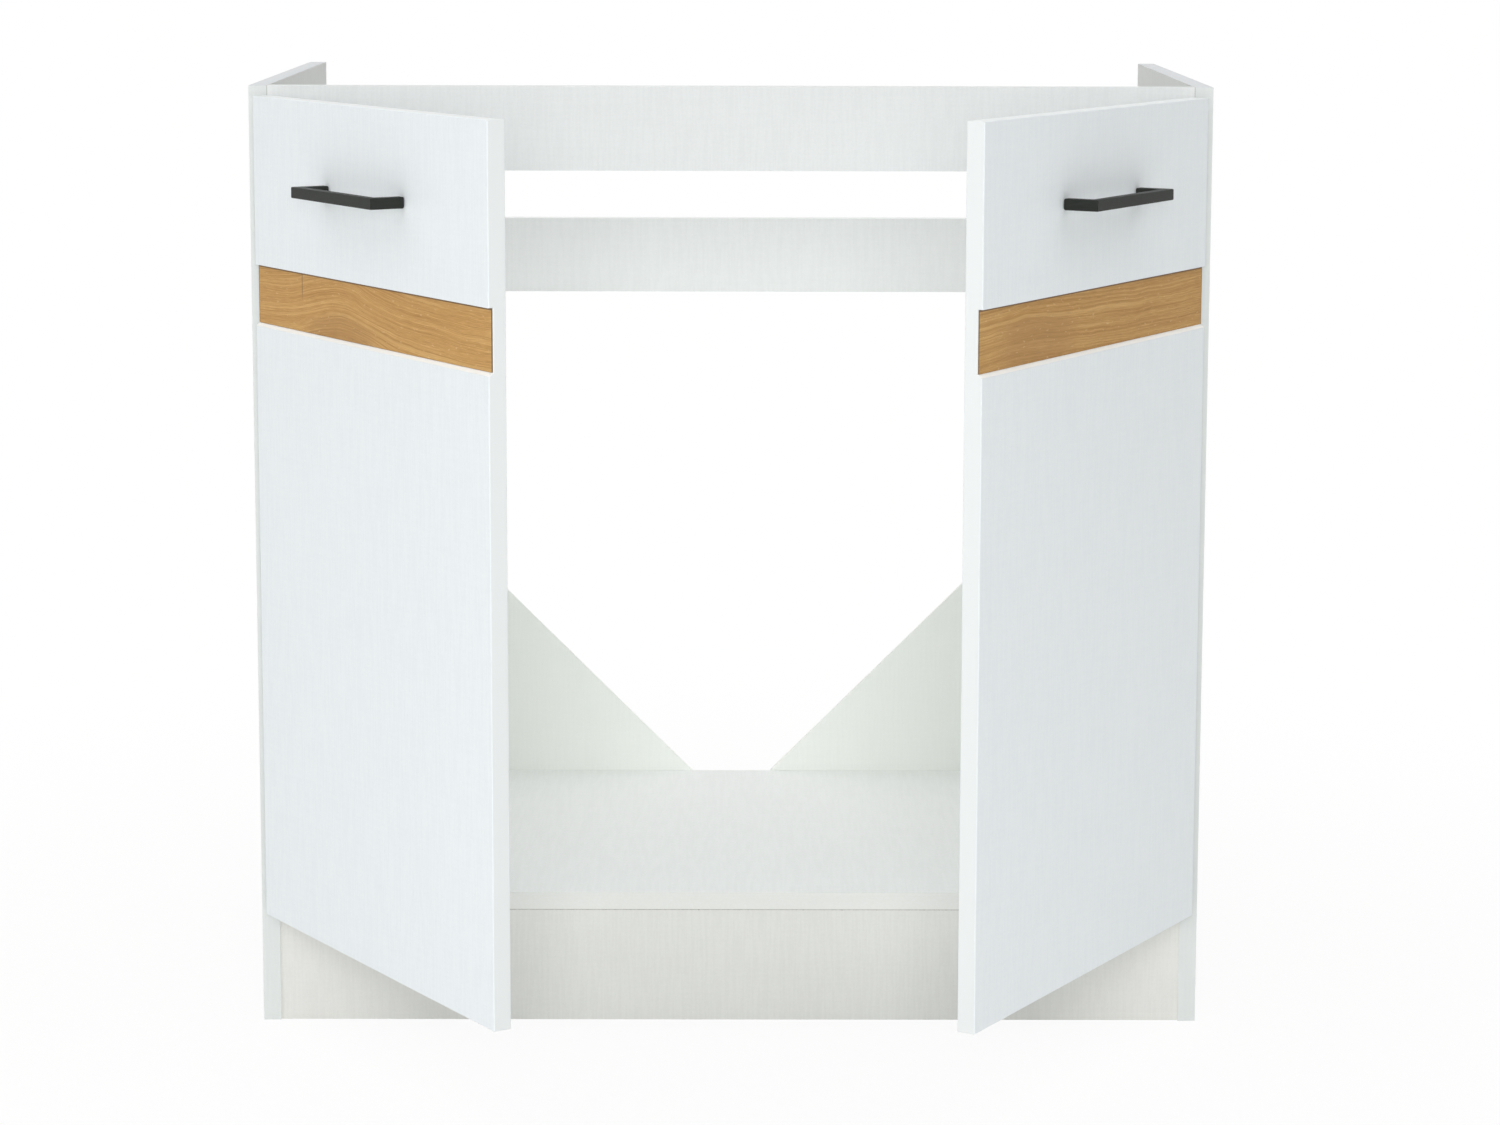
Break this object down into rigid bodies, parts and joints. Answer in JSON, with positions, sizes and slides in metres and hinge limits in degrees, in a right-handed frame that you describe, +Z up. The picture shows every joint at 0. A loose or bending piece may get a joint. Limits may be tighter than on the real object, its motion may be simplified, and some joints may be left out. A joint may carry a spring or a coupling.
{
  "type": "sink base cabinet",
  "caption": "White two-door sink base cabinet with oak strips, black U handles and concealed hinges, open top and open back.",
  "frame": {"origin": "on the floor, under the middle of the plinth board", "axes": "+Z up, fronts face -Y, +X to the viewer's right"},
  "size_m": [0.8, 0.8013, 0.8],
  "materials": {
    "white_board": "white melamine faced particleboard, fine matt texture, edged in white",
    "white_backing": "thin white lacquered fibreboard",
    "door_paint": "cool white satin lacquer on fibreboard",
    "oak_strip": "light oak strip with lengthwise cathedral grain, matt",
    "black_metal": "charcoal black powder coat, satin",
    "nickel": "nickel plated pressed steel",
    "zinc": "bright zinc plated steel",
    "beech": "plain turned beech",
    "clear_rubber": "translucent soft rubber"
  },
  "bodies": {
    "carcass": {"side_panel_left": "white_board", "side_panel_right": "white_board", "bottom_panel": "white_board", "plinth_board": "white_board", "front_rail": "white_board", "rear_rail": "white_board", "back_gusset_left": "white_backing", "back_gusset_right": "white_backing", "bottom_front_screw_left": "zinc", "bottom_rear_screw_left": "zinc", "front_rail_screw_left": "zinc", "rear_rail_screw_left": "zinc", "plinth_screw_left": "zinc", "bottom_front_screw_right": "zinc", "bottom_rear_screw_right": "zinc", "front_rail_screw_right": "zinc", "rear_rail_screw_right": "zinc", "plinth_screw_right": "zinc", "front_rail_dowel_left": "beech", "rear_rail_dowel_left": "beech", "front_rail_dowel_right": "beech", "rear_rail_dowel_right": "beech", "left_lower_mounting_plate": "nickel", "left_lower_hinge_arm": "nickel", "left_upper_mounting_plate": "nickel", "left_upper_hinge_arm": "nickel", "right_lower_mounting_plate": "nickel", "right_lower_hinge_arm": "nickel", "right_upper_mounting_plate": "nickel", "right_upper_hinge_arm": "nickel"},
    "left_outer_links": {"left_lower_outer_link": "nickel", "left_upper_outer_link": "nickel"},
    "left_inner_links": {"left_lower_inner_link": "nickel", "left_upper_inner_link": "nickel"},
    "left_leaf": {"left_door": "door_paint", "left_oak_strip": "oak_strip", "left_handle": "black_metal", "left_handle_screw_1": "zinc", "left_handle_screw_2": "zinc", "left_upper_bumper": "clear_rubber", "left_lower_bumper": "clear_rubber", "left_lower_hinge_cup": "nickel", "left_upper_hinge_cup": "nickel"},
    "right_outer_links": {"right_lower_outer_link": "nickel", "right_upper_outer_link": "nickel"},
    "right_inner_links": {"right_lower_inner_link": "nickel", "right_upper_inner_link": "nickel"},
    "right_leaf": {"right_door": "door_paint", "right_oak_strip": "oak_strip", "right_handle": "black_metal", "right_handle_screw_1": "zinc", "right_handle_screw_2": "zinc", "right_upper_bumper": "clear_rubber", "right_lower_bumper": "clear_rubber", "right_lower_hinge_cup": "nickel", "right_upper_hinge_cup": "nickel"}
  },
  "joints": [
    {"name": "left_outer_link_swing", "type": "hinge", "parent": "carcass", "child": "left_outer_links", "pos_m": [-0.3686, 0.0124, 0.444], "axis": [0, 0, -1], "range_deg": [-12.67, 19]},
    {"name": "left_door_swing", "type": "hinge", "parent": "left_outer_links", "child": "left_leaf", "pos_m": [-0.38024, -0.01953, 0.444], "axis": [0, 0, -1], "range_deg": [-76, 50.67]},
    {"name": "left_inner_link_swing", "type": "hinge", "parent": "carcass", "child": "left_inner_links", "pos_m": [-0.3713, -0.0065, 0.444], "axis": [0, 0, -1], "range_deg": [-11.02, 16.53]},
    {"name": "right_outer_link_swing", "type": "hinge", "parent": "carcass", "child": "right_outer_links", "pos_m": [0.3686, 0.0124, 0.444], "axis": [0, 0, 1], "range_deg": [-12.17, 19.5]},
    {"name": "right_door_swing", "type": "hinge", "parent": "right_outer_links", "child": "right_leaf", "pos_m": [0.37996, -0.01963, 0.444], "axis": [0, 0, 1], "range_deg": [-78, 48.67]},
    {"name": "right_inner_link_swing", "type": "hinge", "parent": "carcass", "child": "right_inner_links", "pos_m": [0.3713, -0.0065, 0.444], "axis": [0, 0, 1], "range_deg": [-10.59, 16.96]}
  ],
  "couplings": [
    {"joint": "left_outer_link_swing", "follows": "left_door_swing", "ratio": -0.25},
    {"joint": "left_inner_link_swing", "follows": "left_door_swing", "ratio": -0.2175},
    {"joint": "right_outer_link_swing", "follows": "right_door_swing", "ratio": -0.25},
    {"joint": "right_inner_link_swing", "follows": "right_door_swing", "ratio": -0.2175}
  ]
}
